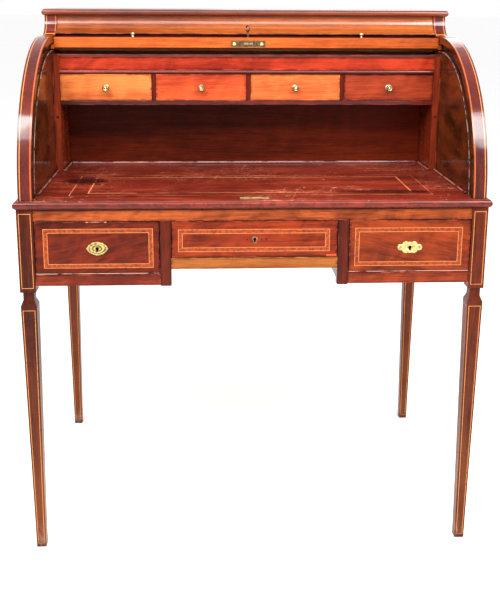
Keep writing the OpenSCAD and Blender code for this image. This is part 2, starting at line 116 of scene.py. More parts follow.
sky = bpy.data.worlds.new("sky")
bpy.context.scene.world = sky
sky.use_nodes = True
backdrop = sky.node_tree.nodes["Background"]
backdrop.inputs["Color"].default_value = (1.0, 1.0, 1.0, 1.0)
backdrop.inputs["Strength"].default_value = 1.0
bpy.context.scene.view_settings.view_transform = "Standard"

# %% [markdown]
# ## Surfaces from arrays
#
# New pieces are surfaces worked out as whole arrays: a grid of points in two parameters becomes a
# sheet of four-sided faces. One helper turns any such grid into a finished mesh, closes it along
# either parameter where asked, merges the points that meet at a pole, and turns the faces outward.

# %% A grid of points becomes a piece
def piece_from_grids(name, grids, around=True, along=False):
    """Joins grids of points, shape (rows, columns, 3), into one mesh object.

    Each face takes the points (r, c), (r, c + 1), (r + 1, c + 1), (r + 1, c). With around, the last
    column joins the first one; with along, the last row joins the first one.
    """
    points, faces, start = [], [], 0
    for grid in grids:
        rows, columns = grid.shape[:2]
        number = start + np.arange(rows * columns).reshape(rows, columns)
        if around:
            number = np.hstack([number, number[:, :1]])
        if along:
            number = np.vstack([number, number[:1]])
        corners = [number[:-1, :-1], number[:-1, 1:], number[1:, 1:], number[1:, :-1]]
        faces.append(np.stack(corners, -1).reshape(-1, 4))
        points.append(grid.reshape(-1, 3))
        start += rows * columns
    mesh = bpy.data.meshes.new(name)
    mesh.from_pydata(np.vstack(points).tolist(), [], np.vstack(faces).tolist())
    return finish_mesh(name, mesh)


def finish_mesh(name, mesh):
    """Merges doubled points, turns the faces outward, shades them smooth and links the object."""
    work = bmesh.new()
    work.from_mesh(mesh)
    bmesh.ops.remove_doubles(work, verts=work.verts, dist=1e-6)
    bmesh.ops.recalc_face_normals(work, faces=work.faces)
    work.to_mesh(mesh)
    work.free()
    return smooth_piece(name, mesh)


def smooth_piece(name, mesh):
    """Shades every face of a mesh smooth and links an object that holds it."""
    mesh.polygons.foreach_set("use_smooth", np.ones(len(mesh.polygons), bool))
    piece = bpy.data.objects.new(name, mesh)
    bpy.context.scene.collection.objects.link(piece)
    return piece


FLOOR_HALF = 60.0
floor_u, floor_v = np.meshgrid(np.linspace(-1, 1, 9), np.linspace(-1, 1, 9))
floor_grid = np.stack([floor_u * FLOOR_HALF, floor_v * FLOOR_HALF, floor_u * 0], -1)
floor = piece_from_grids("floor", [floor_grid], around=False)
print("floor:", len(floor.data.polygons), "faces")

# %% [markdown]
# ## A bench for mixing finishes
#
# Every finish here is worked out from the place of a point on the desk, in metres. The small class
# below is a bench with the tools that all of them need: the three coordinates, arithmetic, noise
# that can be stretched along the grain, and a way to lay one colour over another through a mask.

# %% The mixing bench
# A Mix node has sockets for every kind of value. These are the places of the ones for colours.
MIX_SHARE, MIX_UNDER, MIX_OVER, MIX_RESULT = 0, 6, 7, 2


def paint(red, green, blue):
    """A colour as it looks on a screen, 0 to 255, as the linear numbers that a shader uses."""
    c = np.array([red, green, blue]) / 255
    linear = np.where(c <= 0.04045, c / 12.92, ((c + 0.055) / 1.055) ** 2.4)
    return (*linear.tolist(), 1.0)


class Bench:
    """A material on the bench, with short names for the nodes that every finish uses."""

    def __init__(self, name):
        self.material = bpy.data.materials.new(name)
        self.material.use_nodes = True
        self.tree = self.material.node_tree
        self.shader = self.tree.nodes["Principled BSDF"]
        self.place = self.add("ShaderNodeTexCoord").outputs["Object"]
        split = self.add("ShaderNodeSeparateXYZ")
        self.feed(split.inputs[0], self.place)
        self.x, self.y, self.z = split.outputs

    def add(self, kind):
        return self.tree.nodes.new(kind)

    def feed(self, socket, value):
        """Links a socket to the input, or sets the input to a plain value."""
        if isinstance(value, bpy.types.NodeSocket):
            self.tree.links.new(value, socket)
        else:
            socket.default_value = value

    def sum(self, kind, *values):
        """One Math node on up to three numbers or sockets."""
        node = self.add("ShaderNodeMath")
        node.operation = kind
        for socket, value in zip(node.inputs, values):
            self.feed(socket, value)
        return node.outputs[0]

    def off(self, value, centre):
        """How far a value is from a centre, either way."""
        return self.sum("ABSOLUTE", self.sum("SUBTRACT", value, centre))

    def far(self, u, v):
        """The length of the step (u, v): the root of the sum of their squares."""
        squares = self.sum("ADD", self.sum("MULTIPLY", u, u), self.sum("MULTIPLY", v, v))
        return self.sum("SQRT", squares)

    def ramp(self, value, low, high):
        """A straight ramp from 0 at low to 1 at high."""
        node = self.add("ShaderNodeMapRange")
        self.feed(node.inputs["Value"], value)
        node.inputs["From Min"].default_value = low
        node.inputs["From Max"].default_value = high
        return node.outputs["Result"]

    def ease(self, value, low, high):
        """0 below low, 1 above high, and a smooth step between; low may be the greater one."""
        node = self.add("ShaderNodeMapRange")
        node.interpolation_type = "SMOOTHSTEP"
        self.feed(node.inputs["Value"], value)
        flip = low > high
        node.inputs["From Min"].default_value = min(low, high)
        node.inputs["From Max"].default_value = max(low, high)
        node.inputs["To Min"].default_value = 1.0 if flip else 0.0
        node.inputs["To Max"].default_value = 0.0 if flip else 1.0
        return node.outputs["Result"]

    def noise(self, per_metre, detail=2.0, rough=0.5, warp=0.0, turn=(0, 0, 0), shift=0.0):
        """Noise with its own count per metre along X, Y and Z, centred on 0.5."""
        spread = self.add("ShaderNodeMapping")
        spread.inputs["Scale"].default_value = per_metre
        spread.inputs["Location"].default_value = (shift, shift * 1.7, shift * 2.3)
        lean = self.add("ShaderNodeMapping")
        lean.inputs["Rotation"].default_value = turn
        self.feed(lean.inputs["Vector"], self.place)
        self.feed(spread.inputs["Vector"], lean.outputs["Vector"])
        node = self.add("ShaderNodeTexNoise")
        self.feed(node.inputs["Vector"], spread.outputs["Vector"])
        node.inputs["Scale"].default_value = 1.0
        node.inputs["Detail"].default_value = detail
        node.inputs["Roughness"].default_value = rough
        node.inputs["Distortion"].default_value = warp
        return node.outputs["Fac"]

    def lay(self, mask, under, over):
        """The colour over laid on the colour under, as far as the mask says."""
        node = self.add("ShaderNodeMix")
        node.data_type = "RGBA"
        self.feed(node.inputs[MIX_SHARE], mask)
        self.feed(node.inputs[MIX_UNDER], under)
        self.feed(node.inputs[MIX_OVER], over)
        return node.outputs[MIX_RESULT]

    def both(self, *masks):
        """The product of several masks."""
        result = masks[0]
        for mask in masks[1:]:
            result = self.sum("MULTIPLY", result, mask)
        return result

    def bumps(self, height, depth, after=None):
        """A Bump node of a depth in metres, after another one where given."""
        node = self.add("ShaderNodeBump")
        node.inputs["Strength"].default_value = 1.0
        node.inputs["Distance"].default_value = depth
        self.feed(node.inputs["Height"], height)
        if after is not None:
            self.feed(node.inputs["Normal"], after)
        return node.outputs["Normal"]


print("bench ready")

# %% [markdown]
# ## Mahogany
#
# Mahogany has long soft ribbons of light and dark, fine dark pores that run with the grain, and a
# cloudy figure across it that moves with the light. Each is a noise stretched along the grain by a
# different amount. French polish lies over the wood as a thin clear coat that is never quite flat.

# %% The recipe for polished wood
# How strongly each pattern lightens or darkens the wood, the depth of its relief in metres, how far
# the edges are rubbed, and how far they are dirty and darkened with painted shade.
TONE_SHARE, RIBBON_SHARE, FIBRE_SHARE = 0.9, 0.75, 0.5
PORE_TINT = GRIME_TINT = 0.3
EDGE_DIRT_AND_SHADE_TINT, DARK_SHARE = 0.65, 0.35
PORE_DEPTH, RIPPLE_DEPTH = 0.00004, 0.0004
DIRT_AND_SHADE_EDGE = 0.006, 0.0006
RUBBED_EDGE = 0.0020, 0.0004
COAT_ROUGHNESS = 0.1


def grain_scale(along, with_grain, across):
    """Counts per metre for X, Y and Z, low along the grain's axis and high across it."""
    return tuple(with_grain if axis == along else across for axis in "XYZ")


def lean_of(along, angle):
    """The turn of the pattern that leans the grain by an angle in the plane of the front."""
    return (angle, 0, 0) if along == "Y" else (0, angle, 0)


def edge_distance(b, low, high):
    """Distance to the nearest arris of a box: the middle one of the distances to its three
    pairs of faces, because on the surface the least of them is nothing."""
    near = []
    for value, start, end in zip((b.x, b.y, b.z), low, high):
        centre, half = (start + end) / 2, (end - start) / 2
        near.append(b.sum("SUBTRACT", half, b.off(value, centre)))
    smaller = b.sum("MINIMUM", near[0], near[1])
    greater = b.sum("MAXIMUM", near[0], near[1])
    return b.sum("MAXIMUM", smaller, b.sum("MINIMUM", greater, near[2]))


def mahogany(name, pale, deep, along="X", seed=0.0, figure=0.5, slant=0.0, polish=0.2,
             marks=(), arris=None, coat=0.1, gloss=0.07, worn=0.4):
    """A polished wood finish. Marks are functions that lay inlay, wear, painted shade and painted
    highlights over the grain; with an arris box, the edges get dirt and painted shade, and are
    paled where rubbed.
    """
    b = Bench(name)
    lean = lean_of(along, slant)
    tone = b.noise(grain_scale(along, 1.3, 9), 2, 0.5, 0.3, lean, seed)
    ribbon = b.noise(grain_scale(along, 3.5, 75), 5, 0.75, 0.5, lean, seed + 3)
    fibre = b.noise(grain_scale(along, 30, 700), 2, 0.5, 0, lean, seed + 5)
    cloud = b.noise(grain_scale(along, 11, 17), 3, 0.6, 1.4, lean_of(along, slant + 0.5), seed + 7)
    light = 0.5
    shares = (tone, TONE_SHARE), (ribbon, RIBBON_SHARE), (fibre, FIBRE_SHARE), (cloud, figure)
    for pattern, share in shares:
        light = b.sum("MULTIPLY_ADD", b.sum("SUBTRACT", pattern, 0.5), share, light)
    colour = b.lay(b.ease(light, 0.15, 0.85), deep, pale)
    pores = b.ease(b.noise(grain_scale(along, 70, 1500), 1, 0.5, 0, lean, seed + 9), 0.6, 0.72)
    dark = tuple(c * DARK_SHARE for c in deep[:3]) + (1.0,)
    colour = b.lay(b.both(pores, PORE_TINT), colour, dark)
    grime = b.noise((7, 7, 7), 4, 0.65, 0.6, (0, 0, 0), seed + 11)
    colour = b.lay(b.both(b.ease(grime, 0.52, 0.78), GRIME_TINT), colour, dark)
    if arris is not None:
        near = edge_distance(b, *arris)
        speckle = b.noise(grain_scale(along, 28, 160), 3, 0.7, 0, (0, 0, 0), seed + 13)
        # dirt and painted shade near every arris, so the gaps between parts read dark
        dirt_and_gap_shade = b.both(b.ease(near, *DIRT_AND_SHADE_EDGE), b.ease(speckle, 0.66, 0.42))
        colour = b.lay(b.both(dirt_and_gap_shade, EDGE_DIRT_AND_SHADE_TINT), colour, dark)
        rubbed = b.both(b.ease(near, *RUBBED_EDGE), b.ease(speckle, 0.48, 0.62))
        bright = tuple(min(1.0, c * 1.9 + 0.03) for c in pale[:3]) + (1.0,)
        colour = b.lay(b.both(rubbed, worn), colour, bright)
    for mark in marks:
        colour = mark(b, colour)
    b.feed(b.shader.inputs["Base Color"], colour)
    haze = b.sum("MULTIPLY_ADD", grime, 0.22, polish - 0.08)
    b.feed(b.shader.inputs["Roughness"], b.sum("MULTIPLY_ADD", pores, 0.1, haze))
    ripple = b.noise((34, 34, 34), 2, 0.5, 0, (0, 0, 0), seed + 15)
    grooves = b.sum("SUBTRACT", b.sum("MULTIPLY", fibre, 0.5), pores)
    relief = b.bumps(grooves, PORE_DEPTH, b.bumps(ripple, RIPPLE_DEPTH))
    b.feed(b.shader.inputs["Normal"], relief)
    b.shader.inputs["Coat Weight"].default_value = coat
    b.shader.inputs["Coat Roughness"].default_value = COAT_ROUGHNESS
    b.shader.inputs["Specular IOR Level"].default_value = gloss
    return b.material


print("wood recipe ready")

# %% [markdown]
# ## Inlay and wear as marks
#
# The strings and cross bandings are thin slips of paler wood let in flush, so they change the
# colour and nothing of the shape. Each is a band of distances: how far a point lies inside a
# rectangle, or how far from the side of a leg. A mark is a function that lays one such band over
# the wood's colour.

# %% Strings and bandings
STRING = paint(200, 128, 68)
STRING_WIDE = paint(166, 78, 34)
BANDING_WIDE, BANDING_STRING = 0.0088, 0.0009
FRONT_SKIN = 0.0009  # how deep behind the front face a banding still colours the wood
LEG_STRING_HALF, LEG_STRING_END = 0.00055, 0.009


def inside(b, u, v, left, right, low, high):
    """How far inside a rectangle the point (u, v) is; negative outside it."""
    across = b.sum("SUBTRACT", (right - left) / 2, b.off(u, (left + right) / 2))
    up = b.sum("SUBTRACT", (high - low) / 2, b.off(v, (low + high) / 2))
    return b.sum("MINIMUM", across, up)


def band(b, distance, low, high):
    """1 where the distance is between low and high, else 0."""
    return b.sum("COMPARE", distance, (low + high) / 2, (high - low) / 2)


def string_colour(b, colour):
    """A string's colour with the small breaks and dark spots of old inlay."""
    speck = b.ease(b.noise((160, 160, 160), 2, 0.6), 0.55, 0.75)
    return b.lay(b.both(speck, 0.6), colour, paint(110, 44, 24))


def cross_banding(left, right, low, high, front):
    """Two strings with a cross-grained banding between them, round a drawer front."""
    def mark(b, colour):
        face = b.sum("LESS_THAN", b.y, front + FRONT_SKIN)
        depth = inside(b, b.x, b.z, left, right, low, high)
        slips = b.noise((150, 40, 150), 2, 0.6)
        cross = b.lay(b.ease(slips, 0.3, 0.7), paint(96, 34, 18), paint(150, 62, 32))
        fine = b.ease(b.noise((420, 100, 420), 1, 0.5), 0.4, 0.6)
        cross = b.lay(b.both(fine, 0.2), cross, paint(186, 92, 48))
        colour = b.lay(b.both(face, band(b, depth, 0.0, BANDING_WIDE)), colour, cross)
        outer = band(b, depth, 0.0, BANDING_STRING)
        inner = band(b, depth, BANDING_WIDE - BANDING_STRING, BANDING_WIDE)
        return b.lay(b.both(face, b.sum("MAXIMUM", outer, inner)), colour, string_colour(b, STRING))
    return mark


def leg_strings(centre_x, centre_y, half_top, half_foot, low, high, inset):
    """One string that runs parallel to the edges of every face of a post or a tapered leg.

    The half width at a height is a straight line from the foot's to the top's, and the distance
    from an arris is the greater of the half width less |x| and the half width less |y|.
    """
    def mark(b, colour):
        half = b.sum("MULTIPLY_ADD", b.ramp(b.z, low, high), half_top - half_foot, half_foot)
        side_x = b.sum("SUBTRACT", half, b.off(b.x, centre_x))
        side_y = b.sum("SUBTRACT", half, b.off(b.y, centre_y))
        face = b.sum("MAXIMUM", side_x, side_y)
        reach = (high - low) / 2 + inset - LEG_STRING_END
        ends = b.sum("SUBTRACT", reach, b.off(b.z, (low + high) / 2))
        depth = b.sum("MINIMUM", face, ends)
        line = band(b, depth, inset - LEG_STRING_HALF, inset + LEG_STRING_HALF)
        return b.lay(line, colour, string_colour(b, STRING))
    return mark


print("marks ready")

# %% [markdown]
# ## Easing the edges
#
# No joiner leaves an edge knife sharp. A piece starts as a copy of its solid with the loose
# triangles merged and flat faces made whole, and a Bevel modifier then rounds every arris by about
# a millimetre or less. The light runs along these tiny rounds, and that is what makes a box read as
# a worked piece of wood.

# %% A worked copy of a node
MERGE_GAP = 2e-6
FLAT_WITHIN, SHARP_FROM = math.radians(0.3), math.radians(35)


def worked(node, radius, finish):
    """Replaces a node by a copy with merged points and edges rounded to the radius in metres."""
    source = frame["nodes"][node].data
    co = np.empty(len(source.vertices) * 3)
    source.vertices.foreach_get("co", co)
    corners = np.empty(len(source.loops), int)
    source.loops.foreach_get("vertex_index", corners)
    mesh = bpy.data.meshes.new(node + "_worked")
    mesh.from_pydata(co.reshape(-1, 3).tolist(), [], corners.reshape(-1, 3).tolist())
    work = bmesh.new()
    work.from_mesh(mesh)
    bmesh.ops.remove_doubles(work, verts=work.verts, dist=MERGE_GAP)
    bmesh.ops.dissolve_limit(work, angle_limit=FLAT_WITHIN, verts=work.verts, edges=work.edges)
    work.to_mesh(mesh)
    work.free()
    piece = smooth_piece(node + "_worked", mesh)
    round_over = piece.modifiers.new("eased edges", "BEVEL")
    round_over.width = radius
    round_over.segments = 2
    round_over.limit_method = "ANGLE"
    round_over.angle_limit = SHARP_FROM
    round_over.use_clamp_overlap = False
    weight = piece.modifiers.new("flat faces stay flat", "WEIGHTED_NORMAL")
    weight.keep_sharp = True
    mesh.materials.append(finish)
    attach(piece, body_holding(node))
    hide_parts(node)
    return piece


def body_holding(node):
    """The name of the body that a node belongs to."""
    groups = frame["record"]["behaviour"]["bodies"]
    return next(body for body, nodes in groups.items() if node in nodes)


def box_of(node):
    """The node's lowest and highest corners as plain numbers."""
    low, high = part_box(node)
    return tuple(low), tuple(high)


# %% [markdown]
# ## Legs and posts
#
# Each leg and its post are one length of dark mahogany. A thin string runs round every face of the
# post and again round every face of the taper. The feet are scuffed and grey from a century of
# brooms.

# %% Dress the legs
DARK_PALE, DARK_DEEP = paint(98, 37, 17), paint(42, 12, 7)
NECK_LOW, NECK_HIGH = 0.544, 0.573
POST_TOP = 0.743
LEG_HALF, FOOT_HALF = 0.016, 0.010
POST_INSET, TAPER_INSET = 0.0046, 0.0040


def scuffed_foot(b, colour):
    """Greys and pales the last few centimetres of a leg."""
    scratch = b.ease(b.noise((90, 90, 40), 3, 0.7), 0.45, 0.6)
    low = b.ease(b.z, 0.07, 0.0)
    colour = b.lay(b.both(low, scratch, 0.55), colour, paint(140, 112, 96))
    return b.lay(b.both(b.ease(b.z, 0.02, 0.0), 0.6), colour, paint(46, 34, 30))


def faded_leg(b, colour):
    """The lower leg has faded from red towards brown, more so near the floor."""
    low = b.ease(b.z, 0.52, 0.10)
    cloud = b.ease(b.noise((20, 20, 6), 3, 0.6), 0.25, 0.6)
    return b.lay(b.both(low, cloud, 0.6), colour, paint(112, 62, 32))


for number, name in enumerate(("front_left", "front_right", "back_left", "back_right")):
    node = name + "_leg"
    low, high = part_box(node)
    centre_x = (low.x + high.x) / 2
    centre_y = (low.y + high.y) / 2
    print(node, "stands at", round(centre_x, 4), round(centre_y, 4))
    marks = (
        faded_leg,
        leg_strings(centre_x, centre_y, LEG_HALF, LEG_HALF, NECK_HIGH, POST_TOP, POST_INSET),
        leg_strings(centre_x, centre_y, LEG_HALF, FOOT_HALF, 0.0, NECK_LOW, TAPER_INSET),
        scuffed_foot,
    )
    finish = mahogany(node + "_wood", DARK_PALE, DARK_DEEP, "Z", seed=1.3 * number, figure=0.35,
                      polish=0.24, marks=marks)
    worked(node, 0.0009, finish)
print("legs dressed")

# %% [markdown]
# ## Rails, panels and boards
#
# The rest of the case is flat work. A short table gives each node its grain direction, its pair of
# colours and how far its edges are eased, and one loop makes them all.

# %% The flat pieces
ORANGE = paint(172, 88, 34), paint(108, 42, 14)
PALE_ORANGE = paint(164, 98, 44), paint(120, 58, 22)
RED = paint(104, 33, 13), paint(50, 13, 6)
DEEP_RED = paint(118, 31, 18), paint(54, 12, 8)
BROWN = paint(104, 44, 20), paint(50, 18, 10)
NEST_RED = paint(178, 54, 28), paint(118, 28, 15)
RAW = paint(196, 134, 82), paint(150, 92, 52)
LINING = paint(214, 172, 116), paint(176, 128, 78)
FRIEZE = paint(170, 80, 35), paint(84, 28, 12)
LEFT_RAIL = paint(156, 62, 28), paint(84, 25, 12)
RIGHT_RAIL = paint(160, 64, 28), paint(86, 26, 12)
TOP_BROWN = paint(130, 54, 21), paint(76, 26, 10)
NEST_SIDE = paint(146, 54, 26), paint(82, 26, 13)
NEST_BACK = paint(106, 34, 14), paint(54, 15, 7)
MOULDING = paint(132, 44, 26), paint(72, 20, 12)
FLAT_SEED, FLAT_STEP = 5, 1.7  # the first piece's place in the noise, and the step to the next

flat_pieces = [
    # node, slot, grain, colours, edge radius, figure
    ("frieze_rail", "light_mahogany", "X", FRIEZE, 0.001, 0.8),
    ("centre_bottom_rail", "light_mahogany", "X", PALE_ORANGE, 0.0008, 0.3),
    ("left_stile", "red_mahogany", "Z", RED, 0.001, 0.3),
    ("right_stile", "red_mahogany", "Z", RED, 0.001, 0.3),
    ("left_bottom_rail", "red_mahogany", "X", LEFT_RAIL, 0.0008, 0.6),
    ("right_bottom_rail", "red_mahogany", "X", RIGHT_RAIL, 0.0008, 0.6),
    ("left_end_panel", "carcase_mahogany", "Y", BROWN, 0.0005, 0.5),
    ("right_end_panel", "carcase_mahogany", "Y", BROWN, 0.0005, 0.5),
    ("lower_back_panel", "back_boards", "X", RAW, 0.0005, 0.4),
    ("upper_back_panel", "back_boards", "X", RAW, 0.0005, 0.4),
    ("dust_panel", "drawer_lining", "X", LINING, 0.0004, 0.3),
    ("drawer_runners", "drawer_lining", "Y", LINING, 0.0005, 0.3),
    ("pedestal_sides", "red_mahogany", "Y", BROWN, 0.0005, 0.4),
    ("top_board", "light_mahogany", "X", TOP_BROWN, 0.0006, 0.4),
    ("cornice_frieze", "light_mahogany", "X", ORANGE, 0.0004, 0.35),
    ("roll_stop_strip", "carcase_mahogany", "X", DEEP_RED, 0.0005, 0.3),
    ("nest_sides", "red_mahogany", "Z", NEST_SIDE, 0.0006, 0.4),
    ("nest_shelf", "red_mahogany", "X", DEEP_RED, 0.0008, 0.3),
    ("nest_top", "red_mahogany", "X", DEEP_RED, 0.0005, 0.3),
    ("nest_dividers", "red_mahogany", "Z", DEEP_RED, 0.0006, 0.3),
    ("nest_back", "carcase_mahogany", "X", NEST_BACK, 0.0004, 0.35),
    ("nest_fascia", "red_mahogany", "X", NEST_RED, 0.0004, 0.9),
    ("nest_mouldings", "red_mahogany", "X", MOULDING, 0.0003, 0.3),
    ("surface_bead", "carcase_mahogany", "Y", DEEP_RED, 0.0003, 0.3),
]


PEG_OUT, PEG_UP = 0.4280, 0.885
# where the painted shadow under the writing board's nose starts and is full
NOSE_SHADOW_FROM, NOSE_SHADOW_TO = 0.7385, 0.7422
# the heights between which the painted highlight lies on the bead
BEAD_HIGHLIGHT_BAND = 0.7628, 0.7650


def shaded_peg_holes(b, colour):
    """A small hole in the front edge of each side of the nest, left by an old catch, painted dark
    as the shade inside it.
    """
    rise = b.sum("SUBTRACT", b.z, PEG_UP)
    away = b.sum("SUBTRACT", b.sum("ABSOLUTE", b.x), PEG_OUT)
    reach = b.far(away, rise)
    # painted shade: a dark round for the shade inside the hole
    return b.lay(b.ease(reach, 0.0034, 0.0020), colour, paint(22, 10, 8))


def painted_shadow_under_the_nose(b, colour):
    """A painted shadow in the corner where the frieze rail meets the writing board, under its nose.
    """
    # painted shadow: a dark band along the top of the frieze rail
    return b.lay(b.both(b.ease(b.z, NOSE_SHADOW_FROM, NOSE_SHADOW_TO), 0.9), colour, paint(26, 10, 7))


def painted_bead_highlight(b, colour):
    """A painted highlight, broken into patches, along the top of the small bead round the writing
    board.
    """
    rubbed = b.ease(b.noise((30, 30, 30), 3, 0.6), 0.35, 0.55)
    # painted highlight in patches along the bead's top
    return b.lay(b.both(band(b, b.z, *BEAD_HIGHLIGHT_BAND), rubbed, 0.7), colour, paint(176, 128, 116))


dull_pieces = {"nest_back", "dust_panel", "drawer_runners", "lower_back_panel", "upper_back_panel"}
bright_pieces = {"cornice_frieze", "top_board", "surface_bead", "nest_mouldings", "nest_shelf"}
extra_marks = {
    "nest_sides": (shaded_peg_holes,),
    "surface_bead": (painted_bead_highlight,),
    "frieze_rail": (painted_shadow_under_the_nose,),
}
for number, (node, slot, grain, colours, radius, figure) in enumerate(flat_pieces):
    shine = dict(coat=0.0, gloss=0.05, worn=0.12) if node in dull_pieces else {}
    if node in bright_pieces:
        shine = dict(coat=0.6, gloss=0.12)
    finish = mahogany(node + "_wood", *colours, grain, seed=FLAT_SEED + FLAT_STEP * number,
                      figure=figure, marks=extra_marks.get(node, ()), arris=box_of(node), **shine)
    worked(node, radius, finish)
print(len(flat_pieces), "flat pieces")

# %% [markdown]
# ## The writing board
#
# The board took the wear: its polish is broken by long scratches, the inlaid rectangle is rubbed
# through in places, and two dark stains lie near the ends. A pale haze over the top is a painted
# reflection of the lights.

# %% Finish the writing board
TOP_SKIN = 0.0012
NOSE_FRONT = -0.2992
# the sides of each inlaid rectangle, its string's width, how strongly it shows, and its colour
BOARD_LINES = [
    ((-0.337, 0.329, -0.229, -0.066), 0.0030, 0.95, paint(240, 140, 88)),
    ((-0.372, 0.366, -0.253, -0.045), 0.0018, 0.7, paint(226, 140, 108)),
]
# the noise of each kind of scratch, where it starts and is full, and its colour
SCRATCHES = [
    (((10, 120, 40), 5, 0.8, 0.7, (0, 0, 0.04), 4.0), (0.57, 0.62), paint(220, 128, 92)),
    (((110, 14, 40), 4, 0.75, 0.8, (0, 0, 0.3), 24.0), (0.60, 0.66), paint(220, 128, 92)),
    (((42, 80, 40), 6, 0.8, 1.4, (0, 0, 0), 8.0), (0.58, 0.62), paint(232, 160, 128)),
]
# the centre and the half sizes of each dark stain
STAINS = [((-0.355, -0.1), (0.045, 0.030)), ((0.275, -0.226), (0.105, 0.016))]
STAIN_EDGE = 0.25


def ellipse(b, centre, radii, soft):
    """1 inside an ellipse in the board's plane, easing to 0 over a share of its size."""
    u = b.sum("DIVIDE", b.sum("SUBTRACT", b.x, centre[0]), radii[0])
    v = b.sum("DIVIDE", b.sum("SUBTRACT", b.y, centre[1]), radii[1])
    ragged = b.sum("MULTIPLY_ADD", b.noise((40, 90, 40), 3, 0.6), 0.8, b.far(u, v))
    return b.ease(ragged, 1.0 + soft + 0.4, 1.4 - soft)


def board_wear_and_painted_haze(b, colour):
    """Strings, scratches and stains on the top face of the writing board, and a pale painted
    reflection haze.
    """
    board_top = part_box("table_top")[1].z
    face = b.sum("GREATER_THAN", b.z, board_top - TOP_SKIN)
    left_out = b.ease(b.noise((14, 22, 10), 3, 0.6, 0, (0, 0, 0), 2.0), 0.34, 0.5)
    for sides, wide, share, string in BOARD_LINES:
        line = b.both(face, band(b, inside(b, b.x, b.y, *sides), 0.0, wide), left_out)
        colour = b.lay(b.both(line, share), colour, string)
    # painted reflection: a pale haze over the top face, standing for the lights mirrored in the
    # polish
    haze = b.ease(b.noise((5, 26, 5), 5, 0.7, 0.6, (0, 0, 0), 14.0), 0.46, 0.72)
    colour = b.lay(b.both(face, haze, 0.55), colour, paint(172, 70, 48))
    where = b.ease(b.noise((6, 9, 6), 2, 0.5, 0, (0, 0, 0), 6.0), 0.42, 0.6)
    for pattern, (start, full), bare in SCRATCHES:
        scratch = b.ease(b.noise(*pattern), start, full)
        colour = b.lay(b.both(face, scratch, where, 0.6), colour, bare)
    chips = b.ease(b.noise((140, 200, 90), 2, 0.6, 0.0, (0, 0, 0), 34.0), 0.715, 0.745)
    colour = b.lay(b.both(face, chips, 0.7), colour, paint(240, 192, 168))
    dull = b.ease(b.noise((4, 8, 4), 3, 0.6, 0.5, (0, 0, 0), 10.0), 0.45, 0.7)
    colour = b.lay(b.both(face, dull, 0.45), colour, paint(82, 24, 17))
    below = b.ease(b.z, board_top - 0.0015, board_top - 0.004)
    nose = b.both(b.sum("LESS_THAN", b.y, NOSE_FRONT), below)
    patches = b.ease(b.noise((60, 90, 90), 4, 0.7, 0.8, (0, 0, 0), 12.0), 0.42, 0.6)
    colour = b.lay(b.both(nose, patches, 0.6), colour, paint(60, 20, 10))
    for centre, radii in STAINS:
        stain = ellipse(b, centre, radii, STAIN_EDGE)
        colour = b.lay(b.both(face, stain, 0.85), colour, paint(30, 12, 12))
    return colour


board_finish = mahogany("table_top_wood", paint(134, 44, 28), paint(74, 20, 13), "X", seed=40.0,
                        figure=0.4, polish=0.26, marks=(board_wear_and_painted_haze,), arris=box_of("table_top"),
                        coat=0.4, gloss=0.05)
worked("table_top", 0.0004, board_finish)
print("writing board dressed")

# %% [markdown]
# ## Side panels
#
# The front edge of each side panel is a broad curved band with a thin string near its outer side
# and a broader one near its inner side. The two meet round a short block under the top board. The
# inner face is plain brown wood, with the curved track of the roll cut into it. The track is
# darkened with painted shade, and its worn lip gets a pale painted highlight.

# %% Finish the side panels
roll_joint = next(j for j in frame["record"]["behaviour"]["joints"] if j["name"] == "roll_turn")
AXIS_Y, AXIS_Z = roll_joint["pos_m"][1:]
print("the roll turns about y", AXIS_Y, "z", AXIS_Z)

# Bands are given as their nearer and farther side: out from the middle of the desk for the strings
# and the inner face, up from the floor for the closing string, and out from the axis for the track.
THIN_STRING, BROAD_STRING = (0.4582, 0.4598), (0.4368, 0.4396)
CLOSING_STRING, FRONT_PART = (1.0665, 1.0683), 0.14
INNER_FACE, TRACK_FLOOR = 0.4361, 0.4445
TRACK, TRACK_LIP = (0.2725, 0.2885), (0.2708, 0.2730)


def side_marks(b, colour):
    """The band's strings, painted shade in the track, and a painted highlight on the worn lip of
    the track.
    """
    reach = b.far(b.sum("SUBTRACT", b.y, AXIS_Y), b.sum("SUBTRACT", b.z, AXIS_Z))
    out = b.sum("ABSOLUTE", b.x)
    front = b.sum("LESS_THAN", b.y, FRONT_PART)
    thin = band(b, out, *THIN_STRING)
    broad = band(b, out, *BROAD_STRING)
    close = b.both(band(b, b.z, *CLOSING_STRING), band(b, out, BROAD_STRING[0], THIN_STRING[1]))
    inner = b.sum("LESS_THAN", out, INNER_FACE)
    streaks = b.ease(b.noise((30, 9, 30), 3, 0.6), 0.35, 0.65)
    brown = b.lay(streaks, paint(50, 22, 8), paint(98, 44, 16))
    colour = b.lay(inner, colour, brown)
    colour = b.lay(b.both(front, broad), colour, string_colour(b, STRING_WIDE))
    colour = b.lay(b.both(front, b.sum("MAXIMUM", thin, close)), colour, string_colour(b, STRING))
    # painted shade: the track is darkened as the shade in a groove
    track_shade = b.both(band(b, reach, *TRACK), b.sum("LESS_THAN", out, TRACK_FLOOR))
    colour = b.lay(b.both(track_shade, 0.85), colour, paint(30, 18, 16))
    # painted highlight: a pale grey line on the lip of the track, broken in places by its wear
    chips = b.ease(b.noise((60, 60, 60), 3, 0.7), 0.42, 0.56)
    lip_highlight = b.both(inner, band(b, reach, *TRACK_LIP), chips)
    return b.lay(b.both(lip_highlight, 0.75), colour, paint(176, 158, 146))


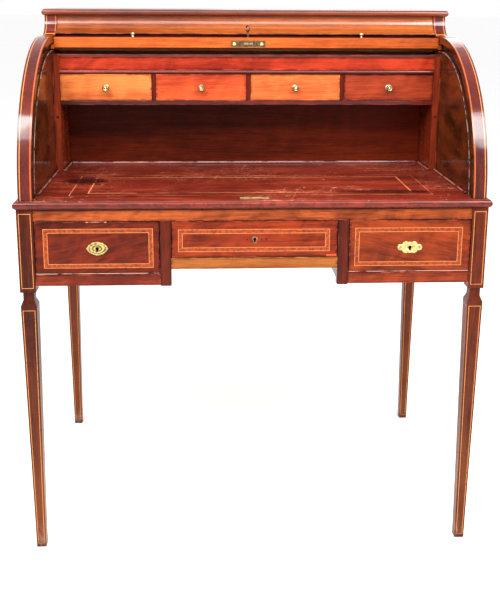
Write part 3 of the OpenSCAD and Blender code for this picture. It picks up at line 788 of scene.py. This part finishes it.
SIDE_PALE, SIDE_DEEP = paint(102, 28, 15), paint(46, 10, 7)
for number, side in enumerate(("left", "right")):
    node = side + "_side_panel"
    finish = mahogany(node + "_wood", SIDE_PALE, SIDE_DEEP, "Z", seed=50 + 3.0 * number,
                      figure=0.3, polish=0.24, marks=(side_marks,), coat=0.6, gloss=0.07)
    worked(node, 0.0007, finish)
print("side panels dressed")

# %% [markdown]
# ## Lower drawers
#
# The three fronts are cut from redder, figured wood. A banding between two strings runs round each
# one, and the grain leans, which gives the flame across the left-hand front.

# %% Dress the lower drawers
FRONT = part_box("left_drawer_front")[0].y
TOP_PATCH = -0.335, -0.279, 0.7140, 0.7200
PIN_HOLES, PIN_HEIGHT = (-0.0150, 0.0140, 0.0230), 0.6790
PATCH = 0.1430, 0.1700, 0.6400, 0.6492

# the banding's left, right, low and high sides, the lean of the grain, and the colours
bandings = {
    "left": ((-0.418, -0.202, 0.6228, 0.7033), 0.22, (paint(110, 34, 14), paint(50, 12, 6))),
    "centre": ((-0.1524, 0.1499, 0.6547, 0.7005), 0.03, (paint(146, 50, 19), paint(74, 19, 9))),
    "right": ((0.2012, 0.4183, 0.6226, 0.7018), -0.18, (paint(142, 54, 21), paint(70, 20, 9))),
}


def pale_top_patch(b, colour):
    """A pale ragged patch at the top edge of the left-hand front."""
    near = inside(b, b.x, b.z, *TOP_PATCH)
    ragged = b.sum("MULTIPLY_ADD", b.noise((110, 90, 40), 4, 0.75), -0.0120, near)
    return b.lay(b.both(b.ease(ragged, -0.0042, -0.0024), 0.8), colour, paint(206, 160, 140))


def old_pin_holes(b, colour):
    """Three plugged pin holes beside the keyhole, and a patch let in at the lower right corner."""
    for x in PIN_HOLES:
        reach = b.far(b.sum("SUBTRACT", b.x, x), b.sum("SUBTRACT", b.z, PIN_HEIGHT))
        colour = b.lay(b.both(b.ease(reach, 0.0022, 0.0012), 0.85), colour, paint(44, 14, 10))
    patch = inside(b, b.x, b.z, *PATCH)
    colour = b.lay(b.ease(patch, 0.0, 0.0003), colour, paint(176, 66, 32))
    return b.lay(band(b, patch, -0.0004, 0.0004), colour, paint(40, 14, 10))


def worn_and_highlit_foot(b, colour):
    """A thin pale line along the bottom edge of a front: rubbed wear, and a painted highlight where
    the edge meets the light.
    """
    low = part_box("left_drawer_front")[0].z
    rubbed = b.ease(b.noise((26, 26, 26), 3, 0.6), 0.36, 0.5)
    line = b.both(band(b, b.z, low - 0.001, low + 0.0014), rubbed)
    # rubbed wear and a painted highlight along the bottom edge
    return b.lay(b.both(line, 0.8), colour, paint(224, 172, 150))


def dovetails(node, length, pitch):
    """Dovetails at the front end of a tray's sides: each tail is widest at the drawer front.

    The height within one pitch runs from 0 to 1, and a tail shows where it is nearer the middle
    than a half width that falls from 0.38 at the front to 0.28 at the back of the joint.
    """
    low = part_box(node)[0]

    def mark(b, colour):
        back = b.sum("DIVIDE", b.sum("SUBTRACT", b.y, low.y), length)
        step = b.sum("FRACT", b.sum("DIVIDE", b.sum("SUBTRACT", b.z, low.z), pitch))
        middle = b.off(step, 0.5)
        half = b.sum("MULTIPLY_ADD", back, -0.1, 0.38)
        pin = b.both(b.sum("LESS_THAN", back, 1.0), b.sum("GREATER_THAN", middle, half))
        seam = b.both(b.sum("LESS_THAN", back, 1.03), band(b, middle, 0.0, 0.5),
                      b.sum("COMPARE", b.sum("SUBTRACT", middle, half), 0.0, 0.012))
        colour = b.lay(b.both(pin, 0.75), colour, paint(124, 62, 34))
        return b.lay(b.both(seam, 0.8), colour, paint(60, 34, 20))
    return mark


def dress_tray(node, radius, seed, joint_length, pitch):
    """Bare pale wood for a drawer's tray, with dovetails drawn on its sides."""
    finish = mahogany(node + "_wood", *LINING, "Y", seed=seed, figure=0.3, polish=0.5, coat=0.0,
                      marks=(dovetails(node, joint_length, pitch),), gloss=0.06)
    worked(node, radius, finish)


for number, (side, (sides, lean, colours)) in enumerate(bandings.items()):
    node = side + "_drawer_front"
    marks = [cross_banding(*sides, FRONT)]
    if side == "left":
        marks.append(pale_top_patch)
    marks.append(old_pin_holes if side == "centre" else worn_and_highlit_foot)
    finish = mahogany(node + "_wood", *colours, "X", seed=60 + 2.3 * number, figure=0.8,
                      slant=lean, marks=marks, arris=box_of(node))
    worked(node, 0.0013, finish)
    dress_tray(side + "_drawer_tray", 0.0006, seed=70 + number, joint_length=0.014, pitch=0.024)
print("lower drawers dressed")

# %% [markdown]
# ## Small drawers
#
# The four small fronts are bright plain mahogany, each from another board, so their colours differ:
# the first and third lean to orange, the second is redder, and the last is a deep red.

# %% Dress the small drawers
small_colours = [
    (paint(220, 124, 62), paint(164, 68, 32)),
    (paint(212, 92, 46), paint(152, 48, 26)),
    (paint(216, 112, 56), paint(160, 58, 28)),
    (paint(172, 66, 36), paint(104, 31, 17)),
]
for number, (pale, deep) in enumerate(small_colours, 1):
    node = f"small_drawer_{number}_front"
    finish = mahogany(node + "_wood", pale, deep, "X", seed=80 + 2.1 * number, figure=0.6,
                      slant=0.03, arris=box_of(node), worn=0.25)
    worked(node, 0.0005, finish)
    dress_tray(f"small_drawer_{number}_tray", 0.0004, seed=90 + number, joint_length=0.006,
               pitch=0.015)
print("small drawers dressed")

# %% [markdown]
# ## The roll
#
# The leading rail and the slats are orange mahogany, and the slats are glued to a strip of plain
# woven canvas. A weave is two sets of threads at right angles, one wave for each, and the higher of
# the two is what the eye sees.

# %% Dress the rail, slats and canvas
THREAD, WEAVE_DEPTH = 0.0012, 0.0002
rail_wood = mahogany("roll_rail_wood", paint(198, 98, 40), paint(136, 52, 20), "X", seed=101.0,
                     figure=0.5)
worked("roll_rail", 0.0005, rail_wood)
slat_wood = mahogany("roll_slats_wood", *ORANGE, "X", seed=104.0, figure=0.4)
worked("roll_slats", 0.0003, slat_wood)


def woven_canvas():
    """Plain weave in flax: threads of 1.2 mm both ways, the higher thread on top."""
    b = Bench("canvas_weave")
    turn = 2 * math.pi / THREAD
    length = b.sum("SINE", b.sum("MULTIPLY", b.x, turn))
    width = b.sum("SINE", b.sum("MULTIPLY", b.sum("ADD", b.y, b.z), turn))
    height = b.sum("MAXIMUM", length, width)
    fade = b.noise((14, 30, 30), 3, 0.6)
    colour = b.lay(b.ease(fade, 0.35, 0.65), paint(150, 128, 98), paint(196, 176, 142))
    # painted shade: darker where both threads are low, in the hollows of the weave
    colour = b.lay(b.ease(height, 0.4, -0.4), colour, paint(96, 78, 58))
    b.feed(b.shader.inputs["Base Color"], colour)
    b.feed(b.shader.inputs["Normal"], b.bumps(height, WEAVE_DEPTH))
    b.feed(b.shader.inputs["Roughness"], b.sum("MULTIPLY_ADD", fade, 0.1, 0.85))
    return b.material


canvas = frame["nodes"]["roll_canvas"]
canvas.data.materials.clear()
canvas.data.materials.append(woven_canvas())
print("roll dressed")

# %% [markdown]
# ## Brass
#
# Old brass is pale and warm where it is rubbed and brown in its corners. The metal keeps a fine
# brushed roughness, and a little tarnish breaks up what it mirrors.

# %% The recipe for brass
def brass(name, pale, tarnish, rough=0.28, dull=0.5, marks=()):
    """Rubbed brass with patches of tarnish and fine scratches. Marks darken its hollows."""
    b = Bench(name)
    patch = b.noise((160, 160, 160), 4, 0.65, 0.4)
    fine = b.noise((900, 900, 900), 2, 0.6)
    dark = b.ease(patch, 0.42, 0.68)
    colour = b.lay(b.both(dark, dull), pale, tarnish)
    for mark in marks:
        colour = mark(b, colour)
    b.feed(b.shader.inputs["Base Color"], colour)
    b.shader.inputs["Metallic"].default_value = 1.0
    b.feed(b.shader.inputs["Roughness"], b.sum("MULTIPLY_ADD", patch, 0.3, rough - 0.12))
    b.feed(b.shader.inputs["Normal"], b.bumps(fine, 0.00003, b.bumps(patch, 0.0001)))
    return b.material


def hollows(centre, wide, tall, rings):
    """Dark rings in a cast plate, at shares of its width and height from the keyhole outwards."""
    def mark(b, colour):
        u = b.sum("DIVIDE", b.sum("SUBTRACT", b.x, centre[0]), wide / 2)
        v = b.sum("DIVIDE", b.sum("SUBTRACT", b.z, centre[2]), tall / 2)
        reach = b.far(u, v)
        for low, high in rings:
            colour = b.lay(b.both(band(b, reach, low, high), 0.8), colour, paint(58, 40, 20))
        return colour
    return mark


# the middle of each side drawer's plate, and its width and height
LEFT_PLATE, LEFT_SIZE = (-0.31225, FRONT, 0.6635), (0.043, 0.027)
RIGHT_PLATE, RIGHT_SIZE = (0.31225, FRONT, 0.6615), (0.050, 0.024)
cast_brass = brass("cast_brass", paint(214, 190, 118), paint(84, 60, 30), 0.3, 0.9,
                   (hollows(LEFT_PLATE, *LEFT_SIZE, ((0.34, 0.46), (0.70, 0.78))),))
plate_brass = brass("plate_brass", paint(232, 212, 140), paint(140, 104, 52), 0.3, 0.6,
                    (hollows(RIGHT_PLATE, *RIGHT_SIZE, ((0.20, 0.25),)),))
bright_brass = brass("bright_brass", paint(244, 228, 160), paint(160, 124, 62))
aged_brass = brass("aged_brass", paint(168, 150, 116), paint(70, 54, 36), 0.36, 0.85)
pale_brass = brass("pale_brass", paint(222, 208, 172), paint(110, 88, 54), 0.3, 0.7)
knob_brass = brass("knob_brass", paint(206, 190, 150), paint(84, 66, 42), 0.26, 0.8)
lock_brass = brass("lock_brass", paint(122, 104, 76), paint(44, 32, 22), 0.34, 0.9)
key_steel = brass("key_steel", paint(104, 94, 80), paint(34, 28, 22), 0.3, 0.8)
strike_brass = brass("strike_brass", paint(226, 206, 146), paint(96, 72, 40), 0.5, 0.8)
worked("strike_plate", 0.0004, strike_brass)
worked("roll_lock", 0.0003, lock_brass)
worked("roll_bolt", 0.0003, aged_brass)
worked("roll_key", 0.0005, key_steel)
for side in ("left", "centre", "right"):
    worked(side + "_drawer_lock", 0.0003, lock_brass if side != "centre" else aged_brass)
print("brass ready")

# %% [markdown]
# ## Turned knobs
#
# A turned piece is a profile carried round an axis. The profile below is a list of radii and
# heights from the drawer front outwards: a flat rose, a thin neck, and a head with a dished face.

# %% Turn the knobs
# how much wider and taller than the profile the nest's knobs and the roll's pulls are
KNOB_SCALE, PULL_SCALE = np.array([1.27, 1.06]), np.array([0.88, 0.75])


def turned(profile, centre, out, steps=40):
    """A profile of (radius, height) carried round the axis through the centre.

    A point at angle a is centre + height * out + radius * (cos a * u + sin a * v), where u and v
    complete the axis to a square frame.
    """
    out = np.array(out, float)
    u = np.array([1.0, 0.0, 0.0])
    v = np.cross(out, u)
    angle = np.linspace(0, 2 * np.pi, steps, endpoint=False)[None, :, None]
    radius = np.array(profile, float)[:, 0][:, None, None]
    height = np.array(profile, float)[:, 1][:, None, None]
    return np.array(centre) + height * out + radius * (np.cos(angle) * u + np.sin(angle) * v)


def rounded(profile, passes=2):
    """Cuts the corners of an open profile: each pass puts points a quarter of the way from both
    ends of every line, and keeps the two end points."""
    line = np.array(profile, float)
    for _ in range(passes):
        quarter = line[:-1] * 0.75 + line[1:] * 0.25
        three = line[:-1] * 0.25 + line[1:] * 0.75
        middle = np.stack([quarter, three], 1).reshape(-1, 2)
        line = np.vstack([line[:1], middle, line[-1:]])
    return line


knob_profile = rounded([
    (0.0, 0.0), (0.0062, 0.0), (0.0062, 0.0008), (0.0050, 0.0018), (0.0032, 0.0024),
    (0.0024, 0.0050), (0.0026, 0.0074), (0.0040, 0.0086), (0.0060, 0.0104), (0.0061, 0.0128),
    (0.0050, 0.0150), (0.0042, 0.0158), (0.0036, 0.0150), (0.0026, 0.0128), (0.0016, 0.0140),
    (0.0, 0.0146),
])
for number in range(1, 5):
    low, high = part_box(f"small_drawer_{number}_knob")
    seat = ((low.x + high.x) / 2, high.y, (low.z + high.z) / 2)
    knob = piece_from_grids(f"small_drawer_{number}_turned_knob",
                            [turned(knob_profile * KNOB_SCALE, seat, (0, -1, 0))])
    knob.data.materials.append(knob_brass)
    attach(knob, f"small_drawer_{number}")
    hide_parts(f"small_drawer_{number}_knob")
print("knobs:", len(knob_profile), "points in the profile")

# %% [markdown]
# ## The roll's knobs
#
# Two like knobs, a little smaller, stand on the leading rail to pull the roll down by. The rail
# rests turned back, so they point nearly straight up: away from the axis that the roll turns about,
# through the middle of their own solids.

# %% Turn the two pulls of the roll
PULL_SEAT, PULL_OUT = 0.3019, 0.260  # from the axis to the rail's face, and from the middle
low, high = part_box("roll_knobs")
axis_point = np.array([0.0, AXIS_Y, AXIS_Z])
head = np.array([0.0, (low.y + high.y) / 2, (low.z + high.z) / 2]) - axis_point
head = head / np.linalg.norm(head)
pull_grids = []
for side in (-1, 1):
    seat = axis_point + head * PULL_SEAT + np.array([side * PULL_OUT, 0, 0])
    pull_grids.append(turned(knob_profile * PULL_SCALE, seat, head))
pulls = piece_from_grids("roll_pulls", pull_grids)
pulls.data.materials.append(pale_brass)
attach(pulls, "roll")
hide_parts("roll_knobs")
print("pulls point", np.round(head, 3))

# %% [markdown]
# ## Escutcheons
#
# The side drawers have thin cast plates over their keyholes: a pointed oval with a beaded rim on
# the left, a plain lobed one on the right. Each is a sheet stretched between the keyhole's outline
# and the plate's own outline, raised a little at both, and closed behind.

# %% Cast the escutcheons
def keyhole_reach(angle, round_radius, slot_half, drop):
    """Distance from the keyhole's centre to its outline: the round, or the slot below it."""
    down = np.maximum(-np.sin(angle), 1e-9)
    slot = np.minimum(drop / down, slot_half / np.maximum(np.abs(np.cos(angle)), 1e-9))
    return np.maximum(round_radius, np.where(np.sin(angle) < 0, slot, 0.0))


def round_reach(angle, x, y, radius):
    """Distance from the origin to the far side of a round at (x, y), or 0 where it is missed."""
    along = x * np.cos(angle) + y * np.sin(angle)
    under = radius**2 - (x * x + y * y) + along**2
    return np.where(under > 0, along + np.sqrt(np.maximum(under, 0)), 0.0)


def pointed_reach(angle, wide, tall):
    """The overlap of two rounds: the nearer of their two outlines."""
    radius = (wide**2 + tall**2) / (4 * tall)
    off = radius - tall / 2
    return np.minimum(round_reach(angle, 0, off, radius), round_reach(angle, 0, -off, radius))


def lobed_reach(angle, wide, tall):
    """The union of seven rounds: the farthest of their outlines."""
    rounds = [(s * (wide / 2 - 0.0065), 0.0, 0.0065) for s in (-1, 1)]
    rounds += [(s * 0.008, t * (tall / 2 - 0.008), 0.008) for s in (-1, 1) for t in (-1, 1)]
    rounds += [(0.0, 0.0, tall / 2 - 0.001), (0.0135, 0.0, 0.0042), (-0.0135, 0.0, 0.0042)]
    return np.max([round_reach(angle, *r) for r in rounds], axis=0)


def escutcheon(name, body, centre, reach, beads, metal):
    """A plate whose rows run from the keyhole to the rim and back behind.

    A row at a share s lies at hole + s * (rim - hole); its height follows a cast profile with a
    raised collar and rim, and beads add a ripple of |sin| to the rim.
    """
    angle = np.linspace(0, 2 * np.pi, 240, endpoint=False)
    hole = keyhole_reach(angle, 0.0033, 0.0019, 0.0071)
    rim = reach(angle) + 0.00015
    share = np.array([0, 0, 0.04, 0.12, 0.2, 0.3, 0.6, 0.78, 0.86, 0.93, 0.985, 1.0, 1.0])
    height = np.array([0, 1.9, 2.15, 2.2, 2.0, 1.75, 1.72, 1.72, 1.95, 2.1, 1.9, 1.4, 0]) / 1000
    at_rim = np.array([0, 0, 0, 0, 0, 0, 0, 0, 0.6, 1, 0.8, 0.2, 0])
    ripple = beads[1] * np.abs(np.sin(angle * beads[0] / 2))
    far = hole + share[:, None] * (rim - hole)
    raised = height[:, None] + at_rim[:, None] * ripple
    x = centre[0] + far * np.cos(angle)
    z = centre[2] + far * np.sin(angle)
    grid = np.stack([x, centre[1] - raised, z], -1)
    plate = piece_from_grids(name, [grid], along=True)
    plate.data.materials.append(metal)
    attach(plate, body)
    return plate


escutcheon("left_escutcheon", "left_drawer", LEFT_PLATE,
           lambda a: pointed_reach(a, *LEFT_SIZE), (44, 0.0006), cast_brass)
escutcheon("right_escutcheon", "right_drawer", RIGHT_PLATE,
           lambda a: lobed_reach(a, *RIGHT_SIZE), (2, 0.0), plate_brass)
print("escutcheons cast")

# %% [markdown]
# ## Screws
#
# A screw head is a shallow dome with a slot. Its height is the dome's, less the slot's depth where
# the point lies within half a slot's width of the middle line.

# %% Set the screws
def screw_head(centre, out, across, radius, dome=0.0005, slot=0.00045, turn=0.5, rise=0.0004):
    """A round head on a ring grid: height = rise + dome * (1 - share**2), less the slot's depth."""
    out, across = np.array(out, float), np.array(across, float)
    up = np.cross(out, across)
    share = np.array([0, 0.25, 0.5, 0.7, 0.85, 0.95, 1.0, 1.0])[:, None]
    angle = np.linspace(0, 2 * np.pi, 48, endpoint=False)[None, :]
    u, v = share * np.cos(angle), share * np.sin(angle)
    line = np.abs(u * math.sin(turn) - v * math.cos(turn))
    height = dome * (1 - share**2) + rise - slot * (line < 0.16)
    height[-1] = -0.0006
    return (np.array(centre) + (u * radius)[..., None] * across + (v * radius)[..., None] * up
            + height[..., None] * out)


# The roll rests 4 degrees past upright, and its lock plate lies in the leading rail's edge, which
# is a plane through the axis: the first vector runs outwards along it, the second faces forward.
LEAN = math.radians(4)
outward = np.array([0.0, math.sin(LEAN), math.cos(LEAN)])
forward = np.array([0.0, -math.cos(LEAN), math.sin(LEAN)])
PLATE_PROUD = 0.00165  # how far the plates' faces stand in front of the drawer fronts
LOCK_REACH, LOCK_SCREW_OUT = 0.288, 0.031
LOCK_SCREW = 0.0034, 0.0001, 0.0004, 0.5, 0.0001  # radius, dome, slot's depth, turn and rise


def plate_screws(plate, apart, radius):
    """A screw at each end of a plate, at a distance from its middle."""
    x, y, z = plate
    return [((x + s * apart, y - PLATE_PROUD, z), (0, -1, 0), (1, 0, 0), radius) for s in (-1, 1)]


screws = {
    "right_drawer": plate_screws(RIGHT_PLATE, 0.0193, 0.0026),
    "left_drawer": plate_screws(LEFT_PLATE, 0.0155, 0.0014),
    "roll": [],
}
for s in (-1, 1):
    place = axis_point + outward * LOCK_REACH + np.array([s * LOCK_SCREW_OUT, 0, 0])
    screws["roll"].append((place, forward, (1, 0, 0), *LOCK_SCREW))
for body, places in screws.items():
    heads = piece_from_grids(body + "_screws", [screw_head(*place) for place in places])
    heads.data.materials.append(bright_brass if body == "roll" else aged_brass)
    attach(heads, body)
print("screws set")

# %% [markdown]
# ## The floor's finish
#
# The floor is pale and matt, with a very faint unevenness so that it does not look like paper.

# %% Finish the floor
pale_floor = Bench("pale_floor")
cloudy = pale_floor.noise((0.8, 0.8, 0.8), 3, 0.5)
tint = pale_floor.lay(cloudy, paint(249, 249, 249), paint(252, 252, 252))
matt = pale_floor.sum("MULTIPLY_ADD", cloudy, 0.1, 0.8)
pale_floor.feed(pale_floor.shader.inputs["Base Color"], tint)
pale_floor.feed(pale_floor.shader.inputs["Roughness"], matt)
floor.data.materials.append(pale_floor.material)
